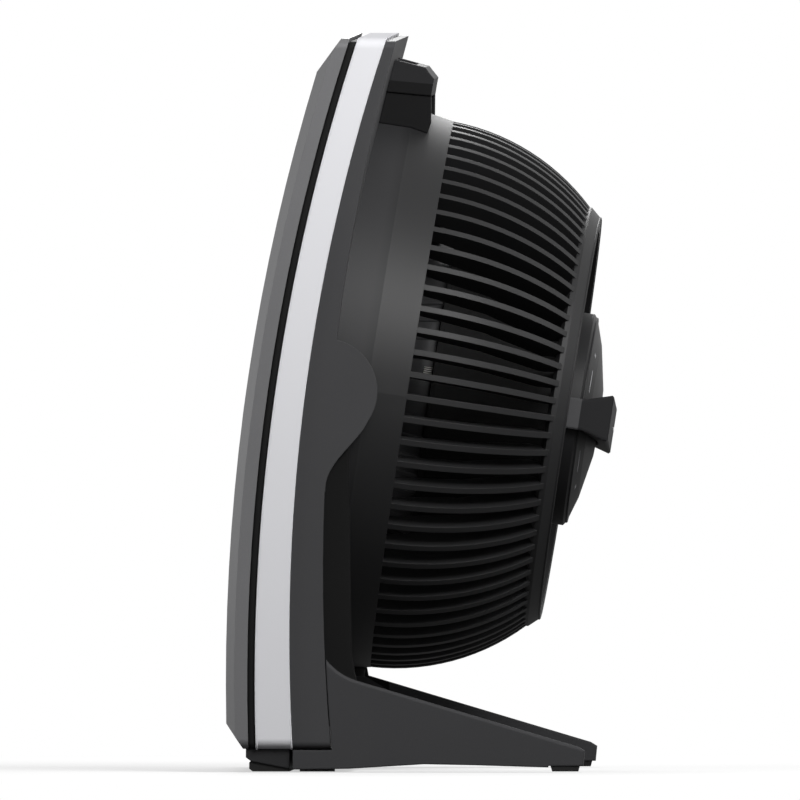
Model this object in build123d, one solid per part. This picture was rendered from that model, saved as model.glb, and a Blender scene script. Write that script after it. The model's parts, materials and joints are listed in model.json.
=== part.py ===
from build123d import *
import math
import os

os.makedirs("parts", exist_ok=True)

# Air circulator fan on a tilting floor stand. Units: mm. +X across, front at -Y, +Z up.
# The origin is on the floor, under the middle of the fan.

# ---- driving dimensions: fan drum, measured along the fan axis -----------------------
LEAN = 8.7                # the fan axis rises this much toward the front
AXIS_Y, AXIS_Z = -5.0, 224.7      # point on the axis where the slots begin (s = 0)
BARREL_R = 169.8          # outside of the plain barrel; most widths follow from it
BARREL_WALL = 3.0
BARREL_END = -24.0        # the barrel narrows from here to the slots
SLOT_R = BARREL_R - 4.2   # outside radius where the slots begin
CURVE_R = 136.2           # lengthwise curve of the ribs
CURVE_C = (SLOT_R - CURVE_R, -5.7)        # its centre: radius, s
RIM = ((SLOT_R - 38.6, 89.5), (SLOT_R - 44.1, 95.7))     # rear rim corners: radius, s
RIM_IN = SLOT_R - 51.1
GLAND_V = BARREL_R - 3.8  # middle of the cord gland, down from the axis
RIB_COUNT = 76
RIB_W = 3.6
RIB_DEPTH = 15.0
REAR_FACE = (84.0, 87.0)  # recessed rear face
SPOKES = 36
CAP_R = 64.0              # dome in the middle of the rear face
PLATE_R = CAP_R + 11      # solid middle of the rear face

# ---- driving dimensions: moving air and motor ---------------------------------------
TIP_R = BARREL_R - 17.4
HUB_R = 46.0
BLADES = 5
BLADE_T = 2.6
# radius, chord, pitch and forward sweep of each blade section
BLADE_SECTIONS = ((HUB_R - 6, 50, 52, 0), (100, 78, 35, 6), (TIP_R + 5, 100, 25, 14))
HUB_S = (-64.0, -12.0)
SHAFT_R = 4.0
CAN_R = 55.0
SHROUD_R = PLATE_R - 1.0   # motor cover where it stands on the rear face
SHROUD_WIDE = 97.0        # and at its front edge
SHROUD_WALL = 2.6
SHROUD_FRONT = 12.0
CAN_S = (22.0, 74.0)

# ---- driving dimensions: tilt pivot, from the drum outward ---------------------------
PIVOT_Y, PIVOT_Z = -54.0, 228.2
EAR_R = 31.6
PIN_R = 4.95
PIN_BORE = PIN_R + 0.05
BOSS_R = 12.0
BOSS_X = BARREL_R + 1.0   # outer face of the pivot boss on the drum
WASHER_GAP = 0.4
WASHER_T = 1.3
ARM_T = 5.7
ARM_IN = BOSS_X + WASHER_GAP + WASHER_T   # stand arm, inside the side band
ARM_OUT = ARM_IN + ARM_T
RUN_GAP = 0.6             # gap between stand and moving head

# ---- driving dimensions: head -------------------------------------------------------
SKIN = 3.2                # wall of the head frame
HEAD_W = 2 * (ARM_OUT + RUN_GAP + SKIN)   # width across the side bands
HEAD_TOP = 438.2          # top of the side bands
HEAD_BOTTOM = 13.5        # underside of the head
CORNER = 4.2              # corner radius of the head, seen from the front
PROUD = 1.8               # bezel and trim strip stand this far outside the bands
SEAT = 1.2                # lip that carries the trim strip sits this far inside the bands
PLATE = 3.0               # front plate of the bezel
BEZEL_EDGE = 5.2          # bevel along its side edges

FRONT_ARC = (1140.3, 53.7)    # Y, Z of the centre the bowed front is struck from
FRONT_R = 1253.7              # bowed front face of the bezel
GROOVE = 5.4                  # dark groove between bezel and trim strip
STRIP_R = FRONT_R - 18.3      # front edge of the trim strip, struck from the same centre
BAND_ARC = (1062.0, 80.0)     # centre of the rear edge of the strip, where the bands begin
BAND_R = 1137.3
REAR_ARC = (1120.9, 119.7)    # centre of the rear edge of the bands
REAR_R = 1176.0
TOP_CUT = ((-51.9, 429.1), (-0.806, 0.592))      # slanted top of the bezel: point, normal
BOTTOM_CUT = ((-110.2, 24.3), (-0.832, -0.554))  # slanted chin of the bezel

# ---- driving dimensions: front grille -----------------------------------------------
MOUTH_R = BARREL_R - 6.8  # round opening in the bezel
DOME_R = 620.0            # dome of the grille
DOME_APEX = -98.0         # s of the middle of the dome
VANES = 36
VANE_W = 2.2
VANE_DEPTH = 6.0
VANE_OFFSET = 20.0        # each vane misses the axis by this, which gives the swirl
BADGE_R = 34.0
RINGS = [BADGE_R + (MOUTH_R - BADGE_R) * i / 4 for i in (1, 2, 3)]

# ---- driving dimensions: knob, handle, stand ----------------------------------------
KNOB_HALF = CAP_R + 5.5
KNOB_END = 121.2          # s of its back face
KNOB_REST = 3.5           # degrees it stands turned in its off position
STEM_R = 5.0
HANDLE_HALF = 62.0
HANDLE_CHEEK = 11.0
POST_X = HANDLE_HALF - HANDLE_CHEEK / 2
SCREW_Y_TOP = 2.4
LEG_OUT = HEAD_W / 2
LEG_FRONT = -73.2
LEG_LOW = HEAD_BOTTOM - 0.7   # the leg stays below this where it passes under the head
PAD_H = 3.3               # rear pads
CHIN_HALF = HEAD_W / 2 - 4
MID_Y = 1.9               # the drawing datum lies this far ahead of the middle of the fan

FAN = Pos(0, AXIS_Y, AXIS_Z) * Rot(-(90 + LEAN), 0, 0)    # local +Z runs rearward
WIDE = 620.0


# ---- shared construction ------------------------------------------------------------
def outline(grow=0.0):
    """Front outline of the head as a long prism along Y, grown or shrunk evenly.

    It never grows downward, so bezel, strip and bands end on one level.
    """
    top, bottom = HEAD_TOP + grow, HEAD_BOTTOM - min(grow, 0)
    face = RectangleRounded(HEAD_W + 2 * grow, top - bottom, CORNER + grow)
    return extrude(Plane.XZ * Pos(0, (top + bottom) / 2) * face, 300, both=True)


def bow(arc, radius):
    """Large cylinder across the fan whose front side is one of the bowed edges."""
    return Pos(0, arc[0], arc[1]) * Rot(0, 90, 0) * Cylinder(radius, WIDE)


def bow_with_edges(arc, radius, half, edge):
    """The same bowed front, turned as one ring, with a bevel along both side edges."""
    at = Plane(origin=(0, *arc), x_dir=(1, 0, 0), z_dir=(0, 0, -1))
    section = polygon([(-half, radius - 90), (-half, radius - edge), (-half + edge, radius),
                       (half - edge, radius), (half, radius - edge), (half, radius - 90)])
    return revolve(at * section, Axis((0, *arc), (1, 0, 0)), 360)


def slant(cut, depth=0.0):
    """Block that takes off everything outside a slanted line of the side view."""
    (y, z), (ny, nz) = cut
    at = Plane(origin=(0, y - depth * ny, z - depth * nz), x_dir=(1, 0, 0),
               z_dir=(0, ny, nz))
    return at * Box(WIDE, 300, 90, align=(Align.CENTER, Align.CENTER, Align.MIN))


def side_prism(face, x0, x1):
    """Face drawn in the side view (Y, Z), given thickness from x0 to x1."""
    return extrude(Plane.YZ.offset(x0) * face, x1 - x0)


def polygon(points):
    """Closed face through a list of points."""
    return make_face(Polyline(*points, close=True))


def turned(points):
    """Solid turned about the fan axis from (radius, s) points."""
    return revolve(make_face(Plane.XZ * Polyline(*points, close=True)), Axis.Z)


def tube(outer, inner, s0, s1):
    """Plain tube on the fan axis."""
    body = Pos(0, 0, (s0 + s1) / 2) * Cylinder(outer, s1 - s0)
    return body - Pos(0, 0, (s0 + s1) / 2) * Cylinder(inner, s1 - s0 + 2) if inner else body


def rod_x(y, z, radius, x0, x1):
    """Round bar along X."""
    return Pos((x0 + x1) / 2, y, z) * Rot(0, 90, 0) * Cylinder(radius, x1 - x0)


def ring_copies(shape, count, start=0.0):
    """Even copies about the fan axis."""
    return [Rot(0, 0, start + 360.0 * i / count) * shape for i in range(count)]


def both_sides(shape):
    """The shape and its mirror image on the other side of the fan."""
    return [shape, mirror(shape, Plane.YZ)]


def barrel_surface(offset=0.0):
    """Outside of the barrel as a solid, grown by an offset."""
    return turned([(0, -130), (BARREL_R + offset, -130), (BARREL_R + offset, BARREL_END),
                   (SLOT_R + offset, 0), (0, 0)])


# ---- head: shell --------------------------------------------------------------------
def front_bezel():
    """Bowed front plate with a short return wall, a round mouth and its collar."""
    shell = outline(PROUD) & (bow(FRONT_ARC, FRONT_R) - bow(FRONT_ARC, STRIP_R + GROOVE))
    shell = shell & bow_with_edges(FRONT_ARC, FRONT_R, HEAD_W / 2 + PROUD, BEZEL_EDGE)
    shell = shell - slant(TOP_CUT) - slant(BOTTOM_CUT)
    inner = outline(-SEAT) & bow_with_edges(
        FRONT_ARC, FRONT_R - PLATE, HEAD_W / 2 - SEAT, BEZEL_EDGE - SEAT)
    inner = inner - slant(TOP_CUT, PLATE) - slant(BOTTOM_CUT, PLATE)
    mouth = FAN * (Pos(0, 0, -70) * Cylinder(MOUTH_R, 140))
    collar = FAN * tube(MOUTH_R + 3.2, 0, -140, -70)
    collar = collar & bow(FRONT_ARC, FRONT_R - 0.5)
    return shell - inner + collar - mouth


def trim_strip():
    """Light strip that runs round the head behind the groove."""
    ring = outline(PROUD) & (bow(FRONT_ARC, STRIP_R) - bow(BAND_ARC, BAND_R))
    return ring - outline(-SEAT)


def ear_face():
    """Side view of the round ear with its S-shaped blend into the band."""
    y, z = PIVOT_Y, PIVOT_Z
    blend = Spline((y + 26.1, z - 17.9), (y + 20.1, z - 26.9), (y + 8.1, z - 40.7),
                   (y + 1.5, z - 52.1), (y + 0.3, z - 60.5))
    rest = Polyline((y + 0.3, z - 60.5), (y - 12, z - 60.5), (y - 12, z), (y, z),
                    (y + 26.1, z - 17.9))
    return Pos(y, z) * Circle(EAR_R) + make_face([blend, rest])


def head_frame():
    """Side bands, ears, lip behind the bezel and the rear wall around the drum."""
    outer, inner = outline(), outline(-SKIN)
    band = outer & (bow(BAND_ARC, BAND_R) - bow(REAR_ARC, REAR_R))
    lip = outline(-SEAT) & (bow(FRONT_ARC, STRIP_R + GROOVE + 4) - bow(BAND_ARC, BAND_R - 1))
    lip = lip - slant(TOP_CUT, PLATE + 0.3) - slant(BOTTOM_CUT, PLATE + 0.3)
    shell = band + lip - inner
    wall = outer & (bow(REAR_ARC, REAR_R + 2.6) - bow(REAR_ARC, REAR_R))
    wall = wall - FAN * (Pos(0, 0, -40) * Cylinder(BARREL_R + 0.2, 160))
    for x in (-1, 1):
        slot = Pos(x * (BOSS_X + 9), 0, PIVOT_Z / 2) * Box(
            22, 400, PIVOT_Z + 2 * (EAR_R + 2))
        wall = wall - (slot & inner)
    frame = shell + wall
    ear = side_prism(ear_face(), HEAD_W / 2 - SKIN, HEAD_W / 2)
    ear = ear & bow(BAND_ARC, BAND_R)
    return frame + both_sides(ear)


def rib():
    """One lengthwise rib of the drum, flat sided, curved along the axis."""
    rc, sc = CURVE_C
    start = (rc + math.sqrt(CURVE_R ** 2 - (1.5 + sc) ** 2), -1.5)
    mid = (rc + CURVE_R * math.cos(math.radians(20)), sc + CURVE_R * math.sin(math.radians(20)))
    end = (RIM[0][0] - 0.6, RIM[0][1] - 0.6)
    inner_end = (end[0] - RIB_DEPTH * 0.75, end[1] - RIB_DEPTH * 0.9)
    inner_mid = (mid[0] - RIB_DEPTH, mid[1] - 2.0)
    inner_start = (start[0] - RIB_DEPTH * 0.6, start[1])
    edges = [ThreePointArc(start, mid, end), Line(end, (RIM_IN + 4, RIM[0][1] - 1)),
             Line((RIM_IN + 4, RIM[0][1] - 1), (RIM_IN + 4, REAR_FACE[0] + 0.5)),
             Line((RIM_IN + 4, REAR_FACE[0] + 0.5), inner_end),
             Polyline(inner_end, inner_mid, inner_start, start)]
    return extrude(Plane.XZ * make_face(edges), RIB_W / 2, both=True)


def rear_housing():
    """Drum: plain barrel, lengthwise ribs, rear rim and spoked rear face."""
    wall = BARREL_WALL
    barrel = barrel_surface() - turned(
        [(0, -131), (BARREL_R - wall, -131), (BARREL_R - wall, BARREL_END),
         (SLOT_R - wall, 1), (0, 1)])
    rim = turned([RIM[0], RIM[1], (RIM_IN, RIM[1][1]), (RIM_IN, REAR_FACE[0]),
                  (RIM[0][0] - 5.5, REAR_FACE[0]), (RIM[0][0], REAR_FACE[0] + 2.2)])
    disc = tube(PLATE_R, 0, *REAR_FACE)
    spoke = Pos((PLATE_R + RIM_IN) / 2, 0, sum(REAR_FACE) / 2) * Box(
        RIM_IN - PLATE_R + 3, RIB_W, REAR_FACE[1] - REAR_FACE[0])
    drum = Part() + ([barrel, rim, disc] + ring_copies(rib(), RIB_COUNT)
                     + ring_copies(spoke, SPOKES))
    drum = drum - Cylinder(STEM_R + 4, 300)
    drum = FAN * drum & bow(FRONT_ARC, STRIP_R + GROOVE - 2)
    drum = drum + both_sides(rod_x(PIVOT_Y, PIVOT_Z, BOSS_R, BOSS_X - 12.8, BOSS_X))
    drum = drum - both_sides(
        rod_x(PIVOT_Y, PIVOT_Z, PIN_BORE, BOSS_X - 11.6, BOSS_X + 5))
    return drum - FAN * gland_bore() - [FAN * s for s in ring_copies(rear_screw(0.1), 4, 45)]


def gland_bore():
    """Hole through the underside of the barrel for the cord gland."""
    return Pos(0, GLAND_V, -12) * Rot(90, 0, 0) * Cylinder(6.0, 40)


def cord_gland():
    """Flanged bush in the cord hole, left open with no cord in it."""
    flange = Pos(0, GLAND_V, -12) * Rot(90, 0, 0) * Cylinder(9, 12) - barrel_surface(0.05)
    shank = Pos(0, GLAND_V, -12) * Rot(90, 0, 0) * Cylinder(5.8, 12)
    bore = Pos(0, GLAND_V, -12) * Rot(90, 0, 0) * Cylinder(3.5, 20)
    return FAN * (flange + shank - bore)


# ---- head: front grille -------------------------------------------------------------
def dome(depth):
    """Solid ball whose front is the grille surface sunk by a depth."""
    return Pos(0, 0, DOME_APEX + DOME_R) * Sphere(DOME_R - depth)


def vane():
    """One flat vane set off the axis, its front edge an arc of the dome."""
    t0, t1 = BADGE_R - 3, math.sqrt((MOUTH_R - 2.5) ** 2 - VANE_OFFSET ** 2)

    def front(t, depth):
        radius = math.sqrt((DOME_R - depth) ** 2 - VANE_OFFSET ** 2)
        return (t, DOME_APEX + DOME_R - math.sqrt(radius ** 2 - t ** 2))

    tm = (t0 + t1) / 2
    back = [front(t, VANE_DEPTH) for t in (t1, tm, t0)]
    edges = [ThreePointArc(front(t0, 0), front(tm, 0), front(t1, 0)),
             Polyline(front(t1, 0), *back, front(t0, 0))]
    return Pos(0, VANE_OFFSET, 0) * extrude(Plane.XZ * make_face(edges), VANE_W / 2, both=True)


def front_grille():
    """Domed grille: swirling vanes, three rings, a hub plate and an outer ring."""
    def sink(r):
        return DOME_APEX + DOME_R - math.sqrt(DOME_R ** 2 - r ** 2)

    rings = [turned([(r - 1.3, sink(r) + 0.3), (r + 1.3, sink(r) + 0.3),
                     (r + 1.3, sink(r) + VANE_DEPTH), (r - 1.3, sink(r) + VANE_DEPTH)])
             for r in RINGS]
    hub = tube(BADGE_R + 4, BADGE_R, sink(BADGE_R), sink(BADGE_R) + VANE_DEPTH)
    floor = tube(BADGE_R + 1, 0, DOME_APEX + 3, DOME_APEX + 6)
    outer = tube(MOUTH_R - 0.3, MOUTH_R - 4.5, sink(MOUTH_R) - 2, sink(MOUTH_R) + 7)
    web = Part() + (ring_copies(vane(), VANES) + rings)
    return FAN * (web - tube(BADGE_R, 0, DOME_APEX - 5, DOME_APEX + 30) + [hub, floor, outer])


def grille_badge():
    """Plain raised disc in the middle of the grille."""
    r, s = BADGE_R - 0.3, DOME_APEX
    return FAN * turned([(0, s + 3), (r, s + 3), (r, s + 0.8), (r - 1, s - 0.1), (0, s - 0.4)])


# ---- head: handle and chin ----------------------------------------------------------
def handle():
    """Carry handle: a grip between two cheeks that stand on the drum."""
    grip = polygon([(-30, 430.4), (-17.4, 427.0), (3.7, 421.3), (9.2, 414.4), (8.5, 411.1),
                    (7.4, 404.3), (-21.1, 407.0), (-30, 407.7)])
    block = side_prism(grip, -HANDLE_HALF, HANDLE_HALF)
    gap = Pos(0, -14.5, 400) * Box(2 * (HANDLE_HALF - HANDLE_CHEEK), 25, 100)
    gap = fillet(gap.edges().filter_by(Axis.Z), 4.0)
    web = polygon([(-30, 408), (7.4, 408), (7.2, 388), (3.0, 376), (-30, 376)])
    cheek = side_prism(web, HANDLE_HALF - HANDLE_CHEEK, HANDLE_HALF - 1.2)
    body = (block - gap + both_sides(cheek)) & bow(REAR_ARC, REAR_R)
    body = body - FAN * barrel_surface(0.05)
    for side in (-1, 1):
        top = Pos(side * POST_X, SCREW_Y_TOP, 421) * Cylinder(3.3, 7)
        body = body - handle_screw(side, 0.1) - top
    return body


def handle_screw(side, extra=0.0):
    """Screw down through one cheek of the handle."""
    return (Pos(side * POST_X, SCREW_Y_TOP, 405) * Cylinder(1.6 + extra, 24)
            + Pos(side * POST_X, SCREW_Y_TOP, 416.3) * Cylinder(3.2 + extra, 2.4))


def chin():
    """Foot under the front of the head that rests on the floor."""
    top, back = HEAD_BOTTOM, LEG_FRONT - 2
    side = polygon([(-101.4, top), (back, top), (back, 1.7), (-98.5, 6.2), (-101.4, 8.4)])
    return side_prism(side, -CHIN_HALF, CHIN_HALF)


def chin_pad():
    """Rubber wedge under the chin foot."""
    back = LEG_FRONT - 2
    side = polygon([(-98.5, 6.2), (back, 1.7), (back, 0), (-97.4, 0), (-99.4, 1.6), (-99.4, 5.4)])
    return side_prism(side, -CHIN_HALF + 1, CHIN_HALF - 1)


# ---- head: motor and rear cap -------------------------------------------------------
def motor_shroud():
    """Tapered cover round the motor, open toward the fan, standing on the rear face."""
    wide, narrow, wall = SHROUD_WIDE, SHROUD_R, SHROUD_WALL
    step, end = SHROUD_FRONT + 3, REAR_FACE[0]
    return FAN * turned([(narrow, end), (wide, step), (wide, SHROUD_FRONT),
                         (CAN_R + 2, SHROUD_FRONT), (CAN_R + 2, step),
                         (wide - wall, step), (narrow - wall, end)])


def motor_can():
    """Motor housing with a bearing hole at the front."""
    s0, s1 = CAN_S
    return FAN * (tube(CAN_R, CAN_R - 3, s0, s1) + tube(CAN_R, SHAFT_R + 0.05, s0, s0 + 4)
                  + tube(CAN_R, 0, s1 - 4, s1) + tube(12, SHAFT_R + 0.05, s0 - 3, s0 + 1))


def motor_windings():
    """Winding ring inside the motor housing."""
    return FAN * tube(CAN_R - 3, 30, CAN_S[0] + 12, CAN_S[1] - 12)


def motor_mount():
    """Plate that carries the motor on the rear face."""
    plate = tube(CAN_R + 4, 14, CAN_S[1], REAR_FACE[0])
    plate = plate - ring_copies(Pos(34, 0, 80) * Cylinder(6, 30), 6, 30)
    return FAN * (plate - ring_copies(rear_screw(0.1), 4, 45))


def rear_screw(extra=0.0):
    """One pan-head screw through the rear face."""
    return (Pos(CAP_R - 12, 0, REAR_FACE[0] - 1) * Cylinder(1.7 + extra, 9)
            + Pos(CAP_R - 12, 0, REAR_FACE[1] + 1) * Cylinder(3.2, 2))


def housing_screws():
    """Four screws that hold the motor mount to the rear face."""
    return [FAN * s for s in ring_copies(rear_screw(), 4, 45)]


def rear_cap():
    """Round dome over the middle of the rear face, left plain."""
    shell = turned([(CAP_R, REAR_FACE[1]), (CAP_R, 101), (61.3, 103), (46.2, 107.8),
                    (20.3, 112.7), (0, 113.6), (0, 111), (45.5, 105.2), (60.4, 100.8),
                    (61.4, REAR_FACE[1])])
    return FAN * (shell - Cylinder(STEM_R + 0.05, 400))


def speed_switch():
    """Rotary switch behind the dome, carried on a boss of the rear face."""
    body = Pos(0, 0, 93) * Box(26, 26, 12)
    return FAN * (body + tube(16, 0, REAR_FACE[1], 88))


# ---- rotor --------------------------------------------------------------------------
def blade():
    """One air blade lofted through three set sections."""
    sections = []
    for r, chord, pitch, sweep in BLADE_SECTIONS:
        at = Plane(origin=(r, sweep, sum(HUB_S) / 2), x_dir=(0, 1, 0), z_dir=(1, 0, 0))
        sections.append(at * Rot(0, 0, pitch) * Rectangle(chord, BLADE_T))
    return loft(sections, ruled=True)


def impeller():
    """Five-bladed air wheel with a hollow, bevelled hub."""
    s0, s1 = HUB_S
    hub = turned([(SHAFT_R, s0 + 4), (14, s0 + 4), (14, s0), (HUB_R - 8, s0), (HUB_R, s0 + 7),
                  (HUB_R, s1), (HUB_R - 3, s1), (HUB_R - 3, s0 + 8), (12, s0 + 8),
                  (12, s1 - 6), (SHAFT_R, s1 - 6)])
    one = blade() & tube(TIP_R, HUB_R - 1.5, s0 - 40, s1 + 40)
    return FAN * (hub + ring_copies(one, BLADES))


def motor_shaft():
    """Straight shaft from the hub into the motor."""
    return FAN * tube(SHAFT_R, 0, HUB_S[0] + 1, CAN_S[1] - 5)


def motor_rotor():
    """Rotor pack on the shaft, with clear room inside the windings."""
    return FAN * tube(28.5, SHAFT_R, CAN_S[0] + 12, CAN_S[1] - 12)


def hub_nut():
    """Spinner nut on the front end of the shaft."""
    nut = Pos(0, 0, HUB_S[0] + 1) * extrude(RegularPolygon(9, 6), 3)
    return FAN * (nut - Cylinder(SHAFT_R, 300) + tube(8, 0, HUB_S[0] - 1.5, HUB_S[0] + 1))


# ---- knob ---------------------------------------------------------------------------
def speed_knob():
    """Bar knob across the dome; its ends lap down the side of the dome."""
    half, s0 = 9.3, REAR_FACE[1] + 7
    side = polygon([(s0, -half), (104.5, -half), (KNOB_END - 1, -14), (KNOB_END, -13),
                    (KNOB_END, 13), (KNOB_END - 1, 14), (104.5, half), (s0, half)])
    bar = extrude(Plane(origin=(-KNOB_HALF, 0, 0), x_dir=(0, 0, 1), z_dir=(1, 0, 0)) * side,
                  2 * KNOB_HALF)
    room = turned([(0, 80), (CAP_R + 1.2, 80), (CAP_R + 1.2, 101.6), (62.4, 104.2),
                   (46.8, 109.0), (35.6, 111.8), (20.5, 113.9), (0, 114.8)])
    stem = tube(STEM_R, 0, 99.4, 116)
    mark = Pos(-52, 0, KNOB_END) * Box(14, 2.0, 1.0)
    return FAN * Rot(0, 0, -KNOB_REST) * (bar - room + stem - mark)


def knob_pointer():
    """Light pointer line let into the back of the knob."""
    return FAN * Rot(0, 0, -KNOB_REST) * (Pos(-52, 0, KNOB_END - 0.1) * Box(14, 2.0, 0.8))


# ---- stand --------------------------------------------------------------------------
def leg_face():
    """Side view of the leg from its front edge to the rear foot."""
    crest = ThreePointArc((-57.0, 73.0), (-46.8, 60.6), (-34.5, 54.3))
    rest = Polyline((-34.5, 54.3), (98.1, 14.7), (102.0, 12.3), (101.1, PAD_H), (80.1, PAD_H),
                    (80.1, 2.4), (36.3, 3.7), (5.7, 4.3), (-39.3, 1.6), (LEG_FRONT, 1.1),
                    (LEG_FRONT, 73.0), (-57.0, 73.0))
    return make_face([crest, rest])


def stand_side():
    """One side of the stand: hidden arm up to the pivot, and the leg outside it."""
    leg = side_prism(leg_face(), ARM_IN, LEG_OUT)
    crest = leg.edges().filter_by(lambda e: e.center().Z > 20 and e.center().Y > -53)
    outer = crest.filter_by(lambda e: abs(e.center().X - LEG_OUT) < 0.01)
    leg = chamfer(outer, 1.4)
    under = leg & Pos(0, 0, LEG_LOW / 2 - 2) * Box(WIDE, 400, LEG_LOW + 4)
    behind = leg & bow(REAR_ARC, REAR_R - RUN_GAP)
    arm = Pos(PIVOT_Y, PIVOT_Z) * Circle(14) + polygon(
        [(PIVOT_Y - 13.9, PIVOT_Z), (PIVOT_Y - 20, 60), (PIVOT_Y - 20, 27), (-30, 27),
         (-38, 70), (PIVOT_Y + 13.9, PIVOT_Z)])
    side = under + behind + side_prism(arm, ARM_IN, ARM_OUT)
    return side - pin_room() - stand_screw(0.1)


def pin_room():
    """Stepped hole for the pivot pin."""
    return (rod_x(PIVOT_Y, PIVOT_Z, PIN_BORE, ARM_IN - 1, ARM_OUT + 1)
            + rod_x(PIVOT_Y, PIVOT_Z, PIN_R + 3.25, ARM_OUT - 2.2, ARM_OUT + 1))


def pivot_pin():
    """Headed pin fixed in the arm; its shank runs in the bore of the drum boss."""
    return (rod_x(PIVOT_Y, PIVOT_Z, PIN_R, BOSS_X - 10.3, ARM_OUT - 0.2)
            + rod_x(PIVOT_Y, PIVOT_Z, PIN_R + 3.05, ARM_OUT - 2.2, ARM_OUT - 0.2))


def pivot_washer():
    """Thrust washer between drum boss and arm."""
    ring = rod_x(PIVOT_Y, PIVOT_Z, BOSS_R - 1.5, ARM_IN - WASHER_T, ARM_IN)
    return ring - rod_x(PIVOT_Y, PIVOT_Z, PIN_BORE, ARM_IN - 5, ARM_IN + 5)


CROSS = (LEG_FRONT + 1.8, -37.8, 3.0, LEG_LOW - 0.2)     # Y and Z limits of the crossbar
SCREW_Y, SCREW_Z = -45.0, 7.4


def stand_crossbar():
    """Hollow bar that joins the two sides under the head."""
    y0, y1, z0, z1 = CROSS
    bar = Pos(0, (y0 + y1) / 2, (z0 + z1) / 2) * Box(2 * ARM_IN, y1 - y0, z1 - z0)
    bar = chamfer(bar.edges().filter_by(Axis.X).sort_by(Axis.Z)[-2:], 1.2)
    bar = bar - Pos(0, (y0 + y1) / 2, z0) * Box(2 * ARM_IN - 30, y1 - y0 - 6, 10)
    return bar - both_sides(stand_screw(0.1))


def stand_screw(extra=0.0):
    """Screw from inside the crossbar into the side of the stand."""
    end = ARM_IN - 15
    return (rod_x(SCREW_Y, SCREW_Z, 2.0 + extra, end - 1, ARM_IN + 6.5)
            + rod_x(SCREW_Y, SCREW_Z, 3.4, end - 2.4, end))


def foot_pads():
    """Rubber pads under each leg: a thin front strip and a rear block."""
    front = side_prism(polygon([(-69, 0), (-48, 0), (-48, 1.45), (-69, 1.15)]), ARM_IN + 1,
                       LEG_OUT - 1)
    rear = side_prism(polygon([(82.5, 0), (98.1, 0), (99.0, PAD_H), (81.5, PAD_H)]),
                      ARM_IN + 0.5, LEG_OUT - 0.5)
    return both_sides(front) + both_sides(rear)


# ---- write one file per piece -------------------------------------------------------
def save(name, shape):
    """Write one piece; a list becomes one compound."""
    shift = Pos(0, -MID_Y, 0)
    if isinstance(shape, (list, tuple)):
        shape = Compound([solid for part in shape for solid in (shift * part).solids()])
    else:
        shape = shift * shape
    shape.label = name
    export_step(shape, f"parts/{name}.step")
    box = shape.bounding_box()
    print(f"{name:20s} Y {box.min.Y:8.2f} {box.max.Y:8.2f}  Z {box.min.Z:8.2f} {box.max.Z:8.2f}"
          f"  X {box.max.X:7.2f}  volume {shape.volume / 1000:8.1f} cm3")


PIECES = {
    "front_bezel": front_bezel, "trim_strip": trim_strip, "head_frame": head_frame,
    "rear_housing": rear_housing, "front_grille": front_grille, "grille_badge": grille_badge,
    "handle": handle, "handle_screws": lambda: [handle_screw(-1), handle_screw(1)],
    "chin_foot": chin, "chin_pad": chin_pad, "cord_gland": cord_gland,
    "motor_shroud": motor_shroud, "motor_can": motor_can, "motor_windings": motor_windings,
    "motor_mount": motor_mount, "housing_screws": housing_screws, "rear_cap": rear_cap,
    "speed_switch": speed_switch, "impeller": impeller, "motor_shaft": motor_shaft,
    "motor_rotor": motor_rotor, "hub_nut": hub_nut, "speed_knob": speed_knob,
    "knob_pointer": knob_pointer, "stand_side_right": stand_side,
    "stand_side_left": lambda: mirror(stand_side(), Plane.YZ),
    "stand_crossbar": stand_crossbar, "stand_screws": lambda: both_sides(stand_screw()),
    "foot_pads": foot_pads, "pivot_pin_right": pivot_pin,
    "pivot_pin_left": lambda: mirror(pivot_pin(), Plane.YZ),
    "pivot_washers": lambda: both_sides(pivot_washer()),
}

for piece, make in PIECES.items():
    save(piece, make())
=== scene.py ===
# %% [markdown]
# # Air circulator fan, dressed in Blender
# The CAD model brings every solid part: bezel, light strip, drum with its ribs, cap, knob,
# handle, stand, and the blades and motor inside. This lesson gives each of them a finish,
# adds the small surface pieces that the solids leave out, and builds a white studio with a
# camera that looks at the fan's side. Lengths are metres, +Z is up, and the front of the
# fan is at -Y.

# %% Open the frame
import json
import math
import bpy
import numpy as np
from mathutils import Matrix, Vector


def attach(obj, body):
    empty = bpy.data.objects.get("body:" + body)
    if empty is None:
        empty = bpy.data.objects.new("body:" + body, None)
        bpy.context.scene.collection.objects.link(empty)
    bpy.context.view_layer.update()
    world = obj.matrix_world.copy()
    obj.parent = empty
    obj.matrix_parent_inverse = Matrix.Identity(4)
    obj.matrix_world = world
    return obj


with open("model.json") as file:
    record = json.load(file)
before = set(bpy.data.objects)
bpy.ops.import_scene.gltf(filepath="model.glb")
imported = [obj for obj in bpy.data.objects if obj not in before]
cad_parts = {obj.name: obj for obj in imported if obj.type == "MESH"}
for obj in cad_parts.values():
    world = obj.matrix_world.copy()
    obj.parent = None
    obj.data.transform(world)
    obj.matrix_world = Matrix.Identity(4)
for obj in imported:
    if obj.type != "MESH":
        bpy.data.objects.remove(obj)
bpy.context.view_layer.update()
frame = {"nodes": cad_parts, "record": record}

# %% [markdown]
# ## Sizes used more than once
# The head is a square box bent over large bows: seen from the side, its front edge, the
# front of the light strip and the rear of the strip are three arcs. Each arc is given by
# its centre (y, z) and its radius. The new pieces follow the same arcs as the solids, so
# the sizes are named once here.

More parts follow.
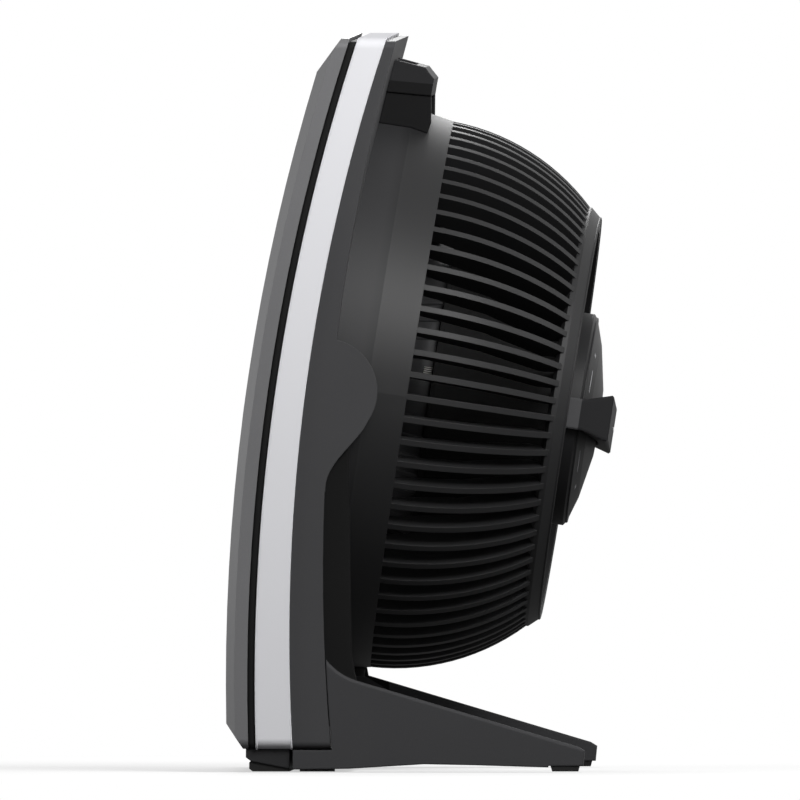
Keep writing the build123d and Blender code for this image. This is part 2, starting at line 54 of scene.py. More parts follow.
# %% Name the sizes
MM = 0.001
LEAN = math.radians(8.7)                  # the fan axis drops toward the rear
AXIS_Y, AXIS_Z = -6.9 * MM, 224.7 * MM    # a point on the fan axis, s = 0
HEAD_HALF = 182.0 * MM
HEAD_TOP, HEAD_BOTTOM, CORNER = 438.2 * MM, 13.5 * MM, 4.2 * MM
FRONT_BOW, STRIP_R = (1138.4 * MM, 53.7 * MM), 1235.4 * MM   # front edge of the light strip
BAND_BOW, BAND_R = (1060.1 * MM, 80.0 * MM), 1137.3 * MM     # rear edge of the light strip
GROOVE = 5.4 * MM                         # width of the dark groove ahead of the strip
print("head", round(2 * HEAD_HALF / MM), "mm wide and", round(HEAD_TOP / MM), "mm high")

# %% [markdown]
# ## Points on the leaning axis
# Drum, cap, knob and blades are all turned about one axis that leans by 8.7 degrees. A
# piece could be built upright and rotated afterwards, but a finished piece here has its
# place in its mesh. So the points themselves are worked out in the leaning frame.

# %% Turn axis coordinates into world coordinates


def on_axis(u, v, s):
    """Point u across, v down from the axis and s along it toward the rear."""
    y = AXIS_Y + s * math.cos(LEAN) - v * math.sin(LEAN)
    z = AXIS_Z - s * math.sin(LEAN) - v * math.cos(LEAN)
    return np.stack(np.broadcast_arrays(u, y, z), axis=-1)


print("fan axis leans", round(math.degrees(LEAN), 1), "degrees")

# %% [markdown]
# ## Meshes from formulas
# Each new piece is a surface of two parameters, sampled on a grid of points. Modelling by
# hand or with operators would do as well, but a formula keeps the piece exact and easy to
# change. numpy works out all points at once, and either direction of the grid may close.

# %% Build a mesh from a grid


def new_piece(name, points, quads):
    """Smooth mesh object from lists of points and quads."""
    mesh = bpy.data.meshes.new(name)
    mesh.from_pydata(points.tolist(), [], quads.tolist())
    mesh.polygons.foreach_set("use_smooth", np.full(len(mesh.polygons), True))
    mesh.update()
    obj = bpy.data.objects.new(name, mesh)
    bpy.context.scene.collection.objects.link(obj)
    return obj


def grid_mesh(name, points, wrap_u=False, wrap_v=False):
    """Mesh through an array of points (rows, columns, 3); each way may close on itself."""
    rows, cols = points.shape[:2]
    index = np.arange(rows * cols).reshape(rows, cols)
    if wrap_u:
        index = np.vstack([index, index[:1]])
    if wrap_v:
        index = np.hstack([index, index[:, :1]])
    quads = np.stack([index[:-1, :-1], index[1:, :-1], index[1:, 1:], index[:-1, 1:]], -1)
    return new_piece(name, points.reshape(-1, 3), quads.reshape(-1, 4))


print("grid meshes ready")

# %% [markdown]
# ## Several grids, one piece
# Ridges, bars and dial marks are each one piece made of many small grids. Joining them by
# an operator depends on what is selected, so their points and faces are stacked instead.

# %% Merge meshes


def merge(name, objects):
    """One piece from several meshes of quads; the small objects are removed."""
    points, faces, start = [], [], 0
    for obj in objects:
        mesh = obj.data
        co = np.empty(len(mesh.vertices) * 3)
        mesh.vertices.foreach_get("co", co)
        corner = np.empty(len(mesh.loops), dtype=np.int64)
        mesh.loops.foreach_get("vertex_index", corner)
        points.append(co.reshape(-1, 3))
        faces.append(corner.reshape(-1, 4) + start)
        start += len(mesh.vertices)
        bpy.data.objects.remove(obj)
    return new_piece(name, np.vstack(points), np.vstack(faces))


print("merging ready")

# %% [markdown]
# ## One recipe for all finishes
# The fan is moulded plastic: a base colour that drifts a little over a hand's breadth, a
# fine spark-eroded grain that breaks up the gloss, a roughness that wanders, and edges
# that catch light because no mould has sharp ones. Image textures would need unwrapped
# surfaces, so all of it comes from noise in Object coordinates and rides with the piece.
# A Bevel node rounds the shading at edges and leaves the mesh alone.

# %% Node helper and the grain


def add(tree, kind, settings=None, **sockets):
    """New shader node with its own settings and the values of its sockets."""
    node = tree.nodes.new("ShaderNode" + kind)
    for key, value in (settings or {}).items():
        setattr(node, key, value)
    for key, value in sockets.items():
        node.inputs[key.replace("_", " ")].default_value = value
    return node


def drifting_colour(tree, where, slow, colour, drift, fleck, grain):
    """Colour that runs from c (1 - drift) to c (1 + drift), with brighter flecks if asked."""
    link = tree.links.new
    shade = add(tree, "Mix", {"data_type": "RGBA"},
                A=(*[c * (1 - drift) for c in colour], 1),
                B=(*[min(1.0, c * (1 + drift)) for c in colour], 1))
    link(slow.outputs["Fac"], shade.inputs["Factor"])
    if not fleck:
        return shade.outputs["Result"]
    spots = add(tree, "TexVoronoi", Scale=grain * 0.5)
    link(where, spots.inputs["Vector"])
    pick = add(tree, "MapRange", From_Min=0.0, From_Max=0.35, To_Min=1 + fleck, To_Max=1.0)
    link(spots.outputs["Distance"], pick.inputs["Value"])
    times = add(tree, "VectorMath", {"operation": "SCALE"})
    link(shade.outputs["Result"], times.inputs[0])
    link(pick.outputs["Result"], times.inputs["Scale"])
    return times.outputs["Vector"]


print("colour recipe ready")

# %% [markdown]
# ## Putting a finish together
# grain is how many noise cells fit in a metre, lift how strongly the grain tilts the
# surface, drift the change of colour and wander the change of roughness. edge is the
# radius in millimetres by which edges look rounded.

# %% Make one finish


def finish(name, colour, rough, metal=0.0, grain=900.0, lift=0.04, drift=0.12,
           coat=0.0, stretch=(1, 1, 1), wander=0.08, fleck=0.0, spec=0.5, edge=0.5):
    """Material: drift in colour, grain in height, wander in roughness, soft edges."""
    mat = bpy.data.materials.new(name)
    mat.use_nodes = True
    tree = mat.node_tree
    tree.nodes.clear()
    link = tree.links.new
    out, skin = add(tree, "OutputMaterial"), add(tree, "BsdfPrincipled")
    place, size = add(tree, "TexCoord"), add(tree, "Mapping", Scale=stretch)
    link(place.outputs["Object"], size.inputs["Vector"])
    slow = add(tree, "TexNoise", Scale=7.0, Detail=3.0)
    fine = add(tree, "TexNoise", Scale=grain, Detail=4.0, Roughness=0.6)
    for noise in (slow, fine):
        link(size.outputs["Vector"], noise.inputs["Vector"])
    link(drifting_colour(tree, size.outputs["Vector"], slow, colour, drift, fleck, grain),
         skin.inputs["Base Color"])
    dull = add(tree, "MapRange", To_Min=max(0.03, rough - wander),
               To_Max=min(1.0, rough + wander))
    link(slow.outputs["Fac"], dull.inputs["Value"])
    link(dull.outputs["Result"], skin.inputs["Roughness"])
    bump = add(tree, "Bump", Strength=lift, Distance=0.0004)
    link(fine.outputs["Fac"], bump.inputs["Height"])
    soft_edge = add(tree, "Bevel", {"samples": 4}, Radius=edge * MM)
    link(soft_edge.outputs["Normal"], bump.inputs["Normal"])
    link(bump.outputs["Normal"], skin.inputs["Normal"])
    skin.inputs["Metallic"].default_value = metal
    skin.inputs["Specular IOR Level"].default_value = spec
    skin.inputs["Coat Weight"].default_value = coat
    skin.inputs["Coat Roughness"].default_value = 0.12
    link(skin.outputs["BSDF"], out.inputs["Surface"])
    return mat


print("finish recipe ready")

# %% [markdown]
# ## Outer plastics
# In the photo the bezel is the lightest dark part, the side bands and the stand are a
# matt dark grey, and the drum is darker but has more gloss: it is bright where the side
# light falls and almost black below. The strip is painted silver with no gloss at all,
# which keeps its top from burning out where it is seen at a low angle.

# %% Finishes of the shell
FINISHES = {
    "graphite_shell": finish("graphite_shell", (0.130, 0.130, 0.134), 0.46, grain=1500,
                             lift=0.10, fleck=0.12, spec=0.40),
    "drum_grey": finish("drum_grey", (0.012, 0.012, 0.0125), 0.50, grain=1500, lift=0.08,
                        wander=0.04, spec=0.24),
    "band_grey": finish("band_grey", (0.048, 0.048, 0.050), 0.56, grain=1500, lift=0.10,
                        fleck=0.10, spec=0.14),
    "silver_trim": finish("silver_trim", (0.71, 0.71, 0.735), 0.42, grain=500, lift=0.015,
                          drift=0.02, wander=0.04, spec=0.0, edge=0.8),
    "black_gloss": finish("black_gloss", (0.010, 0.010, 0.0105), 0.50, grain=900, lift=0.05,
                          wander=0.04, spec=0.20),
    "handle_black": finish("handle_black", (0.021, 0.021, 0.022), 0.52, grain=1200,
                           lift=0.08, spec=0.06, edge=1.2),
    "chin_dark": finish("chin_dark", (0.022, 0.022, 0.023), 0.55, grain=1300, lift=0.10,
                        spec=0.12, edge=1.0),
    "stand_grey": finish("stand_grey", (0.046, 0.046, 0.048), 0.56, grain=1500, lift=0.10,
                         fleck=0.10, spec=0.07, edge=1.5),
    "rubber_black": finish("rubber_black", (0.012, 0.012, 0.012), 0.82, grain=1100,
                           lift=0.25, spec=0.2),
    # near black laid into the groove and the screw recesses as painted shade
    "recess_shade_black": finish("recess_shade_black", (0.006, 0.006, 0.006), 0.7, lift=0.12, spec=0.15),
}
print("shell finishes:", len(FINISHES))

# %% [markdown]
# ## Grille, knob and what shows through the slots
# The grille and the blades behind it are black with a soft gloss. The badge is brushed, so
# its noise is stretched along one axis. Through the slots the motor's shroud is nearly
# black, and the bell before it a little lighter.

# %% Finishes of grille, knob and dark inner parts
FINISHES |= {
    "black_grille": finish("black_grille", (0.010, 0.010, 0.011), 0.34, grain=700,
                           lift=0.03, spec=0.3),
    "badge_grey": finish("badge_grey", (0.10, 0.10, 0.11), 0.28, grain=400, lift=0.02,
                         coat=0.3, stretch=(1, 6, 1)),
    "blade_grey": finish("blade_grey", (0.030, 0.030, 0.033), 0.40, grain=600, lift=0.03,
                         spec=0.25),
    "bell_dark": finish("bell_dark", (0.022, 0.022, 0.023), 0.45, grain=900, lift=0.05,
                        spec=0.25),
    "shroud_dark": finish("shroud_dark", (0.006, 0.006, 0.006), 0.6, grain=900, lift=0.05,
                          spec=0.10),
    "dial_grey": finish("dial_grey", (0.20, 0.20, 0.21), 0.4, grain=600, lift=0.02, spec=0.3),
    "knob_black": finish("knob_black", (0.018, 0.018, 0.019), 0.55, grain=1300, lift=0.09,
                         spec=0.08, edge=2.5),
    "pointer_white": finish("pointer_white", (0.78, 0.78, 0.78), 0.35, grain=500, lift=0.02,
                            drift=0.02),
}
print("finishes so far:", len(FINISHES))

# %% [markdown]
# ## Metals and technical plastics
# Screws and shafts are zinc plated, the motor's sheets are plain steel, the winding is
# lacquered copper. Their noise is stretched along one axis, which reads as turning marks,
# rolling marks or wire.

# %% Finishes of motor, screws and washers
FINISHES |= {
    "steel_zinc": finish("steel_zinc", (0.58, 0.58, 0.60), 0.30, metal=1.0, grain=900,
                         lift=0.05, stretch=(1, 1, 12)),
    "motor_steel": finish("motor_steel", (0.34, 0.34, 0.36), 0.40, metal=1.0, grain=900,
                          lift=0.08, stretch=(1, 14, 1)),
    "copper_winding": finish("copper_winding", (0.55, 0.22, 0.09), 0.30, metal=0.9,
                             grain=700, lift=0.3, stretch=(8, 1, 8)),
    "acetal_white": finish("acetal_white", (0.66, 0.66, 0.63), 0.45, drift=0.03),
    "switch_plastic": finish("switch_plastic", (0.08, 0.08, 0.085), 0.5, lift=0.08),
}
print("all finishes:", len(FINISHES))

# %% [markdown]
# ## Paint the CAD nodes
# Each node takes the finish of its material slot. Four nodes get a finish of their own,
# because their plastics differ in the photo: drum, handle, chin foot and motor shroud.

# %% Give every node its finish
slots = {entry["node"]: entry["material_slot"] for entry in frame["record"]["subparts"]}
OWN_FINISH = {"rear_housing": "drum_grey", "handle": "handle_black", "chin_foot": "chin_dark",
              "motor_shroud": "shroud_dark"}
for name, obj in frame["nodes"].items():
    mat = FINISHES[OWN_FINISH.get(name, slots[name])]
    if not obj.material_slots:
        obj.data.materials.append(mat)
    for place in obj.material_slots:
        place.material = mat
print("painted", len(slots), "nodes")

# %% [markdown]
# ## Painted light and shade on one moulding
# Some mouldings show two tones in the photo; here each second tone is painted light or
# painted shade, laid on a part that the lamps light otherwise than the rest. Splitting the
# mesh would change the CAD node, so the material mixes in a second colour where gates are
# open. A gate measures the point along a direction and opens from 0 to 1 over a short
# width past a start.

# %% Gates and the second tone


def gate(tree, vector, axis, start, width):
    """0 below start along an axis of the point, 1 past start + width, and even between."""
    along = add(tree, "VectorMath", {"operation": "DOT_PRODUCT"})
    along.inputs[1].default_value = axis
    tree.links.new(vector, along.inputs[0])
    level = add(tree, "MapRange", From_Min=start, From_Max=start + width)
    tree.links.new(along.outputs["Value"], level.inputs["Value"])
    return level.outputs["Result"]


def painted_shading_tone(mat, gates, colour):
    """Mix the base colour toward another one where all gates (folded, axis, start, width)
    are open; a folded gate reads |x|, |y|, |z|, so it works on both sides of the fan."""
    tree = mat.node_tree
    skin = next(n for n in tree.nodes if n.type == "BSDF_PRINCIPLED")
    place = next(n for n in tree.nodes if n.type == "TEX_COORD").outputs["Object"]
    fold = add(tree, "VectorMath", {"operation": "ABSOLUTE"})
    tree.links.new(place, fold.inputs[0])
    share = None
    for folded, *limits in gates:
        level = gate(tree, fold.outputs["Vector"] if folded else place, *limits)
        if share is not None:
            both = add(tree, "Math", {"operation": "MULTIPLY"})
            tree.links.new(share, both.inputs[0])
            tree.links.new(level, both.inputs[1])
            level = both.outputs[0]
        share = level
    mix = add(tree, "Mix", {"data_type": "RGBA"}, B=(*colour, 1))
    tree.links.new(share, mix.inputs["Factor"])
    tree.links.new(skin.inputs["Base Color"].links[0].from_socket, mix.inputs["A"])
    tree.links.new(mix.outputs["Result"], skin.inputs["Base Color"])


print("second tone ready")

# %% [markdown]
# ## Painted shade on arms and grip, painted light on drum front and knob end
# The upright arm of each stand side runs inside the head, where shade falls, and that
# shade is painted into it as near black, while the leg below stays grey: the painted shade
# lies above the leg's slanted upper edge, inside the leg's outer face and ahead of
# y = -24 mm. The plain front of the drum is painted a little lighter as painted light,
# which evens it with the narrowing part behind that turns more toward the side light.
# The front end of the knob is painted lighter as the painted highlight of a facet that
# meets the light at another angle, and the lower face of the handle's grip is painted
# darker as painted shade, where it faces down.

# %% Mix in the second tones
FORWARD = (0, -math.cos(LEAN), math.sin(LEAN))   # forward along the fan axis
AXIS_START = AXIS_Y * FORWARD[1] + AXIS_Z * FORWARD[2]
DRUM_FRONT, KNOB_FRONT = -22 * MM, 102.6 * MM    # places along the axis
GRIP_LINE = (0, -0.09, -1.0)      # under 0.09 y + z = 412.1 mm lies the grip's lower face
ARM_LINE = (0, 0.6, 1.0)          # over 0.6 y + z = 30.5 mm the stand side is an arm
# painted light: the drum's plain front is painted lighter to even out its shading
painted_shading_tone(FINISHES["drum_grey"], [(False, FORWARD, AXIS_START - DRUM_FRONT, 8 * MM)],
            (0.022, 0.022, 0.023))
# painted highlight: the knob's front end is painted lighter, as a facet lit at another angle
painted_shading_tone(FINISHES["knob_black"], [(False, FORWARD, AXIS_START - KNOB_FRONT, 0.4 * MM)],
            (0.066, 0.066, 0.068))
# painted shade: the grip's lower face is painted darker where it faces down
painted_shading_tone(FINISHES["handle_black"], [(False, GRIP_LINE, -412.1 * MM, 0.3 * MM)],
            (0.0085, 0.0085, 0.0088))
# painted shade: the arm inside the head is painted near black for the shade there
painted_shading_tone(FINISHES["stand_grey"], [
    (False, ARM_LINE, 30.5 * MM, 0.5 * MM),
    (True, (-1, 0, 0), -179.4 * MM, 0.2 * MM),
    (False, (0, -1, 0), 24 * MM, 1 * MM)], (0.007, 0.007, 0.007))
print("second tones mixed in")

# %% [markdown]
# ## The loop round the head
# From the front, the head's outline is a square with small rounded corners. The loop is
# four quarter circles joined by straight runs. Each point keeps the direction that leads
# outward there, because the beads of the next step are carried along it.

# %% Loop round the head


def head_loop(grow, arc=10, straight=36):
    """Points (x, z) round the head, grown by a length, and their outward directions."""
    w, top, bottom = HEAD_HALF + grow, HEAD_TOP + grow, HEAD_BOTTOM - min(grow, 0)
    r = max(CORNER + grow, 0.6 * MM)
    corners = [(w - r, top - r, 0), (-w + r, top - r, 90),
               (-w + r, bottom + r, 180), (w - r, bottom + r, 270)]
    points, outward = [], []
    for i, (cx, cz, start) in enumerate(corners):
        angle = np.radians(start + np.linspace(0, 90, arc))
        ray = np.stack([np.cos(angle), np.sin(angle)], -1)
        points.append(np.array([cx, cz]) + r * ray)
        outward.append(ray)
        nx, nz, turn = corners[(i + 1) % 4]
        last = points[-1][-1]
        first = np.array([nx, nz]) + r * np.array([math.cos(math.radians(turn)),
                                                   math.sin(math.radians(turn))])
        t = np.linspace(0, 1, straight + 2)[1:-1, None]
        points.append(last + (first - last) * t)
        outward.append(np.repeat(ray[-1:], straight, axis=0))
    return np.vstack(points), np.vstack(outward)


print("points round the head:", len(head_loop(0)[0]))

# %% [markdown]
# ## Painted groove shade and strip edges
# A near-black bead lies in the groove before the light strip as painted shade: it stands
# for the shade that falls into the groove. The strip's two edges are rolled over softly,
# where the solid has sharp ones. A bevel on the solid would change its mesh, so a thin
# bead is laid on each edge. Its section is an ellipse:
# point = loop + h cos t outward + w sin t along Y, and y follows the bow of the edge,
# y = centre - sqrt(R^2 - (z - centre)^2).

# %% Beads round the head


def head_bead(name, grow, bow, radius, high, wide):
    """Bead round the head on one of its bowed edges; its section is an ellipse."""
    loop, outward = head_loop(grow)
    y = bow[0] - np.sqrt(radius ** 2 - (loop[:, 1] - bow[1]) ** 2)
    t = np.linspace(0, 2 * np.pi, 16, endpoint=False)
    out = high * np.cos(t)[None, :, None] * outward[:, None, :]
    x = loop[:, None, 0] + out[..., 0]
    z = loop[:, None, 1] + out[..., 1]
    y = y[:, None] + wide * np.sin(t)[None, :]
    return grid_mesh(name, np.stack([x, y, z], -1), wrap_u=True, wrap_v=True)


def dress(obj, paint, body):
    """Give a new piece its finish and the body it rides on."""
    obj.data.materials.append(FINISHES[paint])
    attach(obj, body)


# painted shade: a near-black bead stands for the shade that falls into the groove
dress(head_bead("groove_shade_bead", -0.9 * MM, FRONT_BOW, STRIP_R + 0.5 * GROOVE,
                0.8 * MM, 0.5 * GROOVE - 0.05 * MM), "recess_shade_black", "head")
dress(head_bead("trim_edge_front", 1.2 * MM, FRONT_BOW, STRIP_R + 0.2 * MM,
                0.7 * MM, 0.7 * MM), "silver_trim", "head")
dress(head_bead("trim_edge_rear", 1.3 * MM, BAND_BOW, BAND_R + 0.5 * MM,
                0.6 * MM, 0.6 * MM), "silver_trim", "head")
print("beads round the head: 3")

# %% [markdown]
# ## Rings on the fan axis
# The cap's shoulder, the drum's rear rim and the drum's rear face each end in a soft bead,
# and the badge has a thin bright ring. A torus is the plain shape for them: its centre
# circle has radius R at place s, and a small circle of radius b is carried round it,
# r = R + b cos t and s + b sin t.

# %% Rings on drum, cap and badge


def axis_ring(name, radius, s, bead, around=160):
    """Torus on the fan axis."""
    a = np.linspace(0, 2 * np.pi, around, endpoint=False)[:, None]
    t = np.linspace(0, 2 * np.pi, 12, endpoint=False)[None, :]
    r = radius + bead * np.cos(t)
    return grid_mesh(name, on_axis(r * np.cos(a), r * np.sin(a), s + bead * np.sin(t)),
                     wrap_u=True, wrap_v=True)


RINGS = {                 # radius, place along the axis and bead radius in mm, finish
    "cap_shoulder_ring": (61.5, 102.7, 0.8, "black_gloss"),
    "drum_rim_bead": (121.3, 95.3, 0.9, "black_gloss"),
    "drum_face_bead": (69.0, 87.0, 0.7, "black_gloss"),
    "badge_ring": (33.2, -97.9, 0.6, "silver_trim"),
}
for name, (radius, s, bead, slot) in RINGS.items():
    dress(axis_ring(name, radius * MM, s * MM, bead * MM), slot, "head")
print("rings:", list(RINGS))

# %% [markdown]
# ## Front bell of the motor
# Behind the blades stands a closed bell, seen as a dark wall through the slots. It is a
# surface of revolution: a closed profile of (r, s) points carried round the fan axis.

# %% Motor bell


def turned_surface(name, profile, around=144):
    """Closed profile of (r, s) points turned about the fan axis."""
    r, s = (np.array(profile, float).T * MM)
    a = np.linspace(0, 2 * np.pi, around, endpoint=False)[:, None]
    return grid_mesh(name, on_axis(r * np.cos(a), r * np.sin(a), s + 0 * a),
                     wrap_u=True, wrap_v=True)


dress(turned_surface("motor_bell", [
    (14, -6.6), (14.4, -7), (77, -7), (78.6, -6.8), (83, -4.9), (84.0, -3.9), (88, 11.2),
    (87.7, 11.6), (14.4, 11.6), (14, 11.2)]), "bell_dark", "head")
print("motor bell ready")

# %% [markdown]
# ## Ridges on the bell
# The photo shows dark bumps of uneven height along the bell. They are low ridges that
# lift the radius by h (1 - q^4) over their width and taper at both ends with
# sin(pi p)^0.35. Their height changes from one to the next by a cosine, so no random
# numbers are needed.

# %% Bell ridges


def bell_ridges(count=44, front=-5.0, back=11.4, height=2.2 * MM, width=3.4 * MM):
    """Low ridges round the bell, tapering at both ends."""
    s = np.linspace(front, back, 12)[:, None] * MM
    radius = (84.0 + 4.0 * (s / MM + 4) / 15.7) * MM
    q = np.linspace(-1, 1, 9)[None, :]
    along = np.sin(np.pi * np.linspace(0.03, 0.97, 12))[:, None] ** 0.35
    made = []
    for i in range(count):
        lift = height * (0.7 + 0.3 * math.cos(2.4 * i))
        r = radius - 0.3 * MM + lift * along * (1 - q ** 4)
        a = 2 * math.pi * i / count + q * width / (2 * 86 * MM)
        made.append(grid_mesh(f"ridge_{i}", on_axis(r * np.cos(a), r * np.sin(a), s + 0 * q)))
    return merge("bell_ridges", made)


dress(bell_ridges(), "bell_dark", "head")
print("ridges: 44")

# %% [markdown]
# ## Terminal comb
# A comb of seven thin light bars shows between two ribs. The bars lie on each side of the
# bell, a little above the axis, and follow its cone: u = sqrt(R(s)^2 - v^2). Each bar is a
# flat ellipse carried a few millimetres along the axis, closed to a point at both ends.

# %% Terminal comb on both sides


def comb(count=7, pitch=1.15, s0=6.0, s1=11.3, high=-18.4):
    """Thin bars along the axis, one over the other, laid on both sides of the bell."""
    made = []
    s = np.array([s0, s0, s0 + 0.2, s1 - 0.2, s1, s1])[:, None] * MM
    skin = (84.0 * MM + 4.0 * (s + 3.9 * MM) / 15.1) + 0.25 * MM
    full = np.array([0.01, 0.8, 1, 1, 0.8, 0.01])[:, None]
    t = np.linspace(0, 2 * np.pi, 10, endpoint=False)[None, :]
    for side in (-1, 1):
        for k in range(count):
            middle = (high + k * pitch) * MM
            u = side * (np.sqrt(skin ** 2 - middle ** 2) + 0.5 * MM * full * np.cos(t))
            v = middle + 0.3 * MM * full * np.sin(t) * side
            made.append(grid_mesh(f"bar_{side}_{k}", on_axis(u, v, s + 0 * t), wrap_v=True))
    return merge("terminal_comb", made)


dress(comb(), "acetal_white", "head")
print("comb bars: 14")

# %% [markdown]
# ## Marks on the dome
# The speed scale round the knob is a set of short arcs and dots. They could be painted,
# but a mark that stands 0.2 mm proud catches the light as printed ink does. Each is a flat
# bar along an arc of the dome's cone, where s falls with r, and its ends round off with
# sqrt(1 - p^8).

# %% Dial marks


def cone_s(r):
    """Place along the axis of the dome's cone at a radius, in millimetres."""
    return np.interp(r, [46.2, 61.3], [107.8, 103.0])


def arc_mark(name, middle, spread, half, radius=53.5):
    """Flat rounded bar along an arc of the dome: middle and spread in degrees."""
    a = np.radians(middle + np.linspace(-spread, spread, 15))[:, None]
    end = np.sqrt(np.clip(1 - np.linspace(-1, 1, 15) ** 8, 0.02, 1))[:, None]
    t = np.linspace(0, 2 * np.pi, 10, endpoint=False)[None, :]
    r = radius + half * end * np.cos(t)
    s = cone_s(r) + 0.22 * end * np.sin(t)
    return grid_mesh(name, on_axis(r * MM * np.cos(a), -r * MM * np.sin(a), s * MM),
                     wrap_v=True)


marks = []
for side in (0, 180):
    for flip in (-1, 1):
        marks.append(arc_mark(f"arc_{side}_{flip}", side + flip * 27, 8.5, 0.55))
        marks.append(arc_mark(f"dot_{side}_{flip}", side + flip * 48, 1.6, 1.3))
print("dial marks:", len(marks))
dress(merge("dial_marks", marks), "dial_grey", "head")

# %% [markdown]
# ## Painted shade of the drive recesses in the handle screws
# The two screws in the handle need something for a screwdriver. Cutting the CAD node is
# not allowed here. The CAD node is left uncut, so a dark dish lies on each screw head as
# painted shade of the drive recess: its edge follows r = a (1 + 0.35 cos 4t), a soft
# cross, and its middle dips with 1 - q^2.

# %% Screw recesses


def recess(name, x, y, z):
    """Cross-like dark dish on a screw head that faces up, painted shade of a recess."""
    t = np.linspace(0, 2 * np.pi, 48, endpoint=False)[:, None]
    q = np.linspace(0.02, 1, 8)[None, :]
    r = 1.5 * MM * (1 + 0.35 * np.cos(4 * t)) * q
    lift = 0.10 * MM + 0.0 * t - 0.06 * MM * (1 - q ** 2)
    points = np.stack([x + r * np.cos(t), y + r * np.sin(t), z + lift], -1)
    return grid_mesh(name, points, wrap_u=True)


SCREW_X, SCREW_Y, SCREW_TOP = 56.5 * MM, 0.5 * MM, 417.5 * MM
for side, tag in ((1, "right"), (-1, "left")):
    # painted shade: a dark dish stands for the shade in each drive recess
    dress(recess(f"screw_recess_shade_{tag}", side * SCREW_X, SCREW_Y, SCREW_TOP),
          "recess_shade_black", "head")
print("screw recesses: 2")

# %% [markdown]
# ## White studio
# The photo stands on pure white. Making the backdrop white by strong lamps would wash the
# dark plastics out, so world and floor tell kinds of rays apart: the camera sees white,
# and the fan receives only a little light from them. In its gloss the fan sees a white
# backdrop but a dull floor, because in the photo the lower half of the drum stays dark.

# %% White to the camera, dim as light


def white_for_views(tree, ambient, gloss):
    """Socket value: 1 for camera and transmission rays, gloss for glossy rays, else
    ambient."""
    path = add(tree, "LightPath")
    dull = add(tree, "Math", {"operation": "MULTIPLY"})
    dull.inputs[1].default_value = (gloss - ambient) / (1 - ambient)
    first, second = (add(tree, "Math", {"operation": "MAXIMUM"}) for _ in range(2))
    tree.links.new(path.outputs["Is Glossy Ray"], dull.inputs[0])
    tree.links.new(path.outputs["Is Camera Ray"], first.inputs[0])
    tree.links.new(dull.outputs[0], first.inputs[1])
    tree.links.new(first.outputs[0], second.inputs[0])
    tree.links.new(path.outputs["Is Transmission Ray"], second.inputs[1])
    level = add(tree, "MapRange", To_Min=ambient, To_Max=1.0)
    tree.links.new(second.outputs[0], level.inputs["Value"])
    return level.outputs["Result"]


AMBIENT = 0.12            # light that the white world throws on the fan
world = bpy.data.worlds.new("studio_white")
bpy.context.scene.world = world
world.use_nodes = True
tree = world.node_tree
tree.nodes.clear()
glow, end = add(tree, "Background", Color=(1, 1, 1, 1)), add(tree, "OutputWorld")
tree.links.new(white_for_views(tree, AMBIENT, 1.0), glow.inputs["Strength"])
tree.links.new(glow.outputs[0], end.inputs["Surface"])
print("world is white to the camera and", AMBIENT, "as light")

# %% [markdown]
# ## The floor keeps a shadow
# A floor that only glows would lose the fan's shadow, and the fan would float. Near the
# fan the camera therefore sees a share of plain matt white, which takes the shadow. The
# share fades out with the distance from the fan, from 0.25 m to 0.9 m.

# %% White floor
FLOOR_BOUNCE = 0.07       # light that the floor throws back up onto the fan
FLOOR_GLOSS = 0.20        # how bright the floor is in the fan's reflections
FLOOR_DROP = 0.6 * MM     # keeps the floor just clear of the foot pads


def white_floor(half=6.0):
    """Large square floor, white to the camera, that darkens a little under the fan."""
    u = np.linspace(-half, half, 3)[:, None]
    v = np.linspace(-half, half, 3)[None, :]
    floor = grid_mesh("studio_floor",
                      np.stack([u + 0 * v, v + 0 * u, 0 * u * v - FLOOR_DROP], -1))
    mat = bpy.data.materials.new("studio_floor_white")
    mat.use_nodes = True
    tree = mat.node_tree
    tree.nodes.clear()
    link = tree.links.new
    glow, end = add(tree, "Emission"), add(tree, "OutputMaterial")
    link(white_for_views(tree, FLOOR_BOUNCE, FLOOR_GLOSS), glow.inputs["Strength"])
    matte, share = add(tree, "BsdfDiffuse", Color=(0.9, 0.9, 0.9, 1)), add(tree, "MixShader")
    place, far = add(tree, "TexCoord"), add(tree, "VectorMath", {"operation": "LENGTH"})
    link(place.outputs["Object"], far.inputs[0])
    near = add(tree, "MapRange", {"interpolation_type": "SMOOTHSTEP"},
               From_Min=0.25, From_Max=0.9, To_Min=0.45, To_Max=0.0)
    link(far.outputs["Value"], near.inputs["Value"])
    path, only = add(tree, "LightPath"), add(tree, "Math", {"operation": "MULTIPLY"})
    link(near.outputs["Result"], only.inputs[0])
    link(path.outputs["Is Camera Ray"], only.inputs[1])
    link(only.outputs[0], share.inputs["Fac"])
    link(glow.outputs[0], share.inputs[1])
    link(matte.outputs[0], share.inputs[2])
    link(share.outputs[0], end.inputs["Surface"])
    floor.data.materials.append(mat)


white_floor()
print("floor ready")

# %% [markdown]
# ## Four soft lights
# The main light stands high beside the camera, toward the rear: it draws the bright line
# along the drum and lets the lower half fall dark. The far light gives the other side
# its edge, and two weak ones open up the front and the rear for views from there.

# %% Soft lights


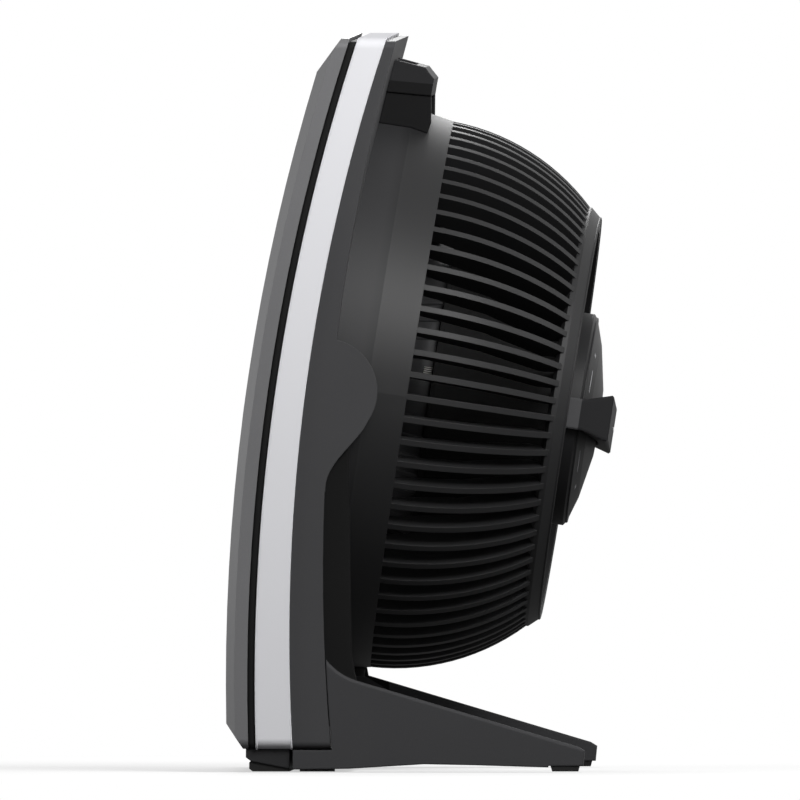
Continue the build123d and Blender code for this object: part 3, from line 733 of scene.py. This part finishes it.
def soft_light(name, place, aim, size, watts):
    """Square area light at a place, turned to a point."""
    data = bpy.data.lights.new(name, "AREA")
    data.shape, data.size, data.energy = "SQUARE", size, watts
    lamp = bpy.data.objects.new(name, data)
    bpy.context.scene.collection.objects.link(lamp)
    turn = (Vector(aim) - Vector(place)).to_track_quat("-Z", "Y")
    lamp.matrix_world = Matrix.Translation(place) @ turn.to_matrix().to_4x4()


LIGHTS = {                # place, point aimed at, size in metres, watts
    "light_side": ((1.05, 0.45, 0.98), (0.1, 0, 0.27), 0.60, 17),
    "light_far": ((-1.15, -0.15, 1.02), (-0.1, 0, 0.25), 0.62, 14),
    "light_front": ((0.5, -1.7, 0.35), (0, 0, 0.12), 0.8, 13),
    "light_rear": ((0.5, 1.7, 0.9), (0, 0, 0.25), 0.8, 8),
}
for name, settings in LIGHTS.items():
    soft_light(name, *settings)
print("lights:", list(LIGHTS))

# %% [markdown]
# ## Camera
# In the photo the near and the far side of the fan nearly coincide, as through a very
# long lens. A flat (orthographic) camera shows the same: 1.2 degrees round to the rear and
# half a degree above level. Its frame is 480 mm wide, so one pixel of an 800 pixel picture
# is 0.6 mm.

# %% Camera and view
VIEW_TURN, VIEW_LIFT, VIEW_FAR = math.radians(1.2), math.radians(0.5), 4.0
PHOTO_SPAN = 0.480
look_at = Vector((0, -14.5 * MM, 221.3 * MM))
toward = Vector((math.cos(VIEW_TURN) * math.cos(VIEW_LIFT),
                 math.sin(VIEW_TURN) * math.cos(VIEW_LIFT), math.sin(VIEW_LIFT)))
camera_data = bpy.data.cameras.new("photo_camera")
camera_data.type = "ORTHO"
camera_data.ortho_scale = PHOTO_SPAN
camera = bpy.data.objects.new("photo_camera", camera_data)
bpy.context.scene.collection.objects.link(camera)
camera.matrix_world = (Matrix.Translation(look_at + VIEW_FAR * toward)
                       @ (-toward).to_track_quat("-Z", "Y").to_matrix().to_4x4())
bpy.context.scene.camera = camera
bpy.context.scene.view_settings.view_transform = "Standard"
print("camera looks along", [round(c, 3) for c in -toward])
